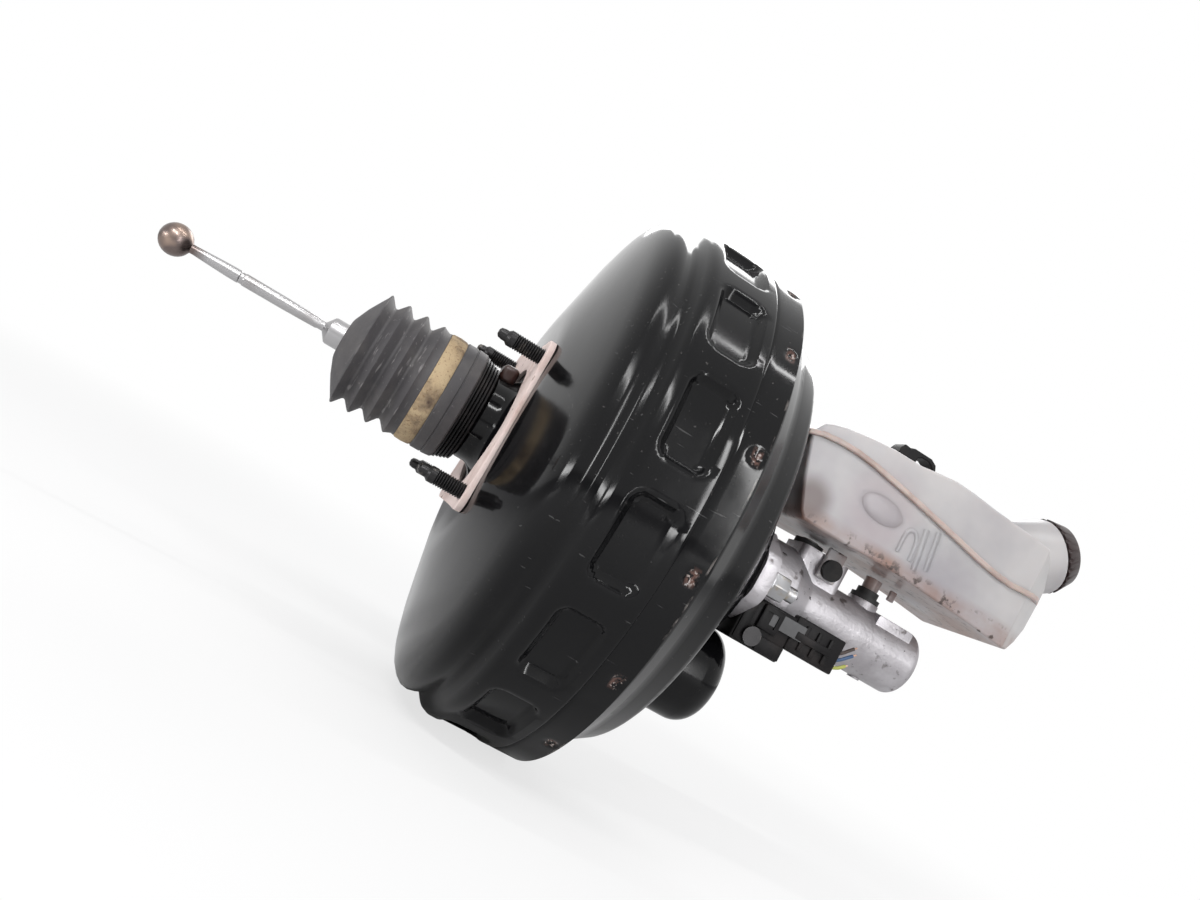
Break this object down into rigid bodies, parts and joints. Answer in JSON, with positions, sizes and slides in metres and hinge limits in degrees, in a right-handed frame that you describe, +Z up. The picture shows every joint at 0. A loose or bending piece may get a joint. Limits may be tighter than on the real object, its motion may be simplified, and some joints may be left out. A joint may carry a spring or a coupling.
{
  "type": "brake booster",
  "caption": "Vacuum brake booster with a ribbed black shell, push rod and dust boot, bolted to a tandem master cylinder with a translucent fluid reservoir.",
  "frame": {"origin": "centre of the four bulkhead studs on the rear shell's mounting face", "axes": "+X along the push rod's axis towards the master cylinder, +Z up towards the reservoir, +Y to the side away from the sensor"},
  "size_m": [0.5118, 0.276, 0.276],
  "materials": {
    "black_shell": "gloss",
    "rubber": "matt",
    "foam": "open foam",
    "gasket": "matt foam",
    "zinc_steel": "zinc plated",
    "polished_steel": "ground",
    "spring_steel": "satin",
    "cast_alloy": "as cast",
    "machined_alloy": "machined",
    "black_plastic": "satin",
    "grey_plastic": "satin",
    "clear_tank": "translucent",
    "wire_cover": "satin"
  },
  "bodies": {
    "housing": {"rear_shell": "black_shell", "front_shell": "black_shell", "mounting_gasket": "gasket", "mounting_studs": "zinc_steel", "front_studs": "zinc_steel", "flange_nuts": "zinc_steel", "filter_ring": "foam", "boot_collar": "rubber", "retainer_ring": "black_plastic", "neck_lug": "black_plastic", "dust_boot": "rubber", "guide_bush": "black_plastic", "neck_seal": "rubber", "diaphragm": "rubber", "return_spring": "spring_steel", "master_cylinder": "cast_alloy", "secondary_spring": "spring_steel", "spigot_seal": "rubber", "reservoir_lower": "clear_tank", "reservoir_upper": "clear_tank", "hose_clip": "black_plastic", "strainer": "grey_plastic", "cap_seal": "rubber", "reservoir_grommets": "rubber", "reservoir_pin": "black_plastic", "sensor_body": "black_plastic", "connector_plug": "black_plastic", "sensor_screw": "zinc_steel", "sensor_clip": "grey_plastic", "wire_stubs": "wire_cover", "vacuum_grommet": "rubber", "check_valve": "black_plastic", "check_valve_spring": "spring_steel"},
    "input_rod": {"push_rod": "polished_steel", "plunger": "machined_alloy", "spring_seat": "zinc_steel", "valve_spring": "spring_steel"},
    "power_piston": {"valve_body": "black_plastic", "poppet_valve": "rubber", "piston_plate": "zinc_steel", "reaction_disc": "rubber", "output_rod": "zinc_steel"},
    "primary": {"primary_piston": "machined_alloy", "primary_cup": "rubber", "primary_spring": "spring_steel"},
    "secondary": {"secondary_piston": "machined_alloy", "secondary_cup": "rubber"},
    "valve_disc": {"check_valve_disc": "rubber"},
    "cap": {"reservoir_cap": "black_plastic"}
  },
  "joints": [
    {"name": "pedal_push", "type": "slide", "parent": "housing", "child": "input_rod", "axis": [1, 0, 0], "range_m": [0, 0.032], "stiffness_N_per_m": 1500, "springref_m": -0.02, "deforming": ["dust_boot", "valve_spring"]},
    {"name": "piston_travel", "type": "slide", "parent": "housing", "child": "power_piston", "axis": [1, 0, 0], "range_m": [0, 0.03], "deforming": ["return_spring", "diaphragm"]},
    {"name": "primary_travel", "type": "slide", "parent": "housing", "child": "primary", "axis": [1, 0, 0], "range_m": [0, 0.03], "deforming": ["primary_spring"]},
    {"name": "secondary_travel", "type": "slide", "parent": "housing", "child": "secondary", "axis": [1, 0, 0], "range_m": [0, 0.014], "deforming": ["secondary_spring"]},
    {"name": "valve_lift", "type": "slide", "parent": "housing", "child": "valve_disc", "axis": [1, 0, 0], "range_m": [0, 0.0015], "stiffness_N_per_m": 60, "springref_m": -0.002, "deforming": ["check_valve_spring"]},
    {"name": "cap_turn", "type": "hinge", "parent": "housing", "child": "cap", "pos_m": [0.3125, 0, 0.0973], "axis": [0.8572, 0, 0.515], "range_deg": [0, 90]}
  ],
  "couplings": [
    {"joint": "piston_travel", "follows": "pedal_push", "ratio": 0.9375},
    {"joint": "primary_travel", "follows": "pedal_push", "ratio": 0.9375},
    {"joint": "secondary_travel", "follows": "pedal_push", "ratio": 0.4375}
  ]
}
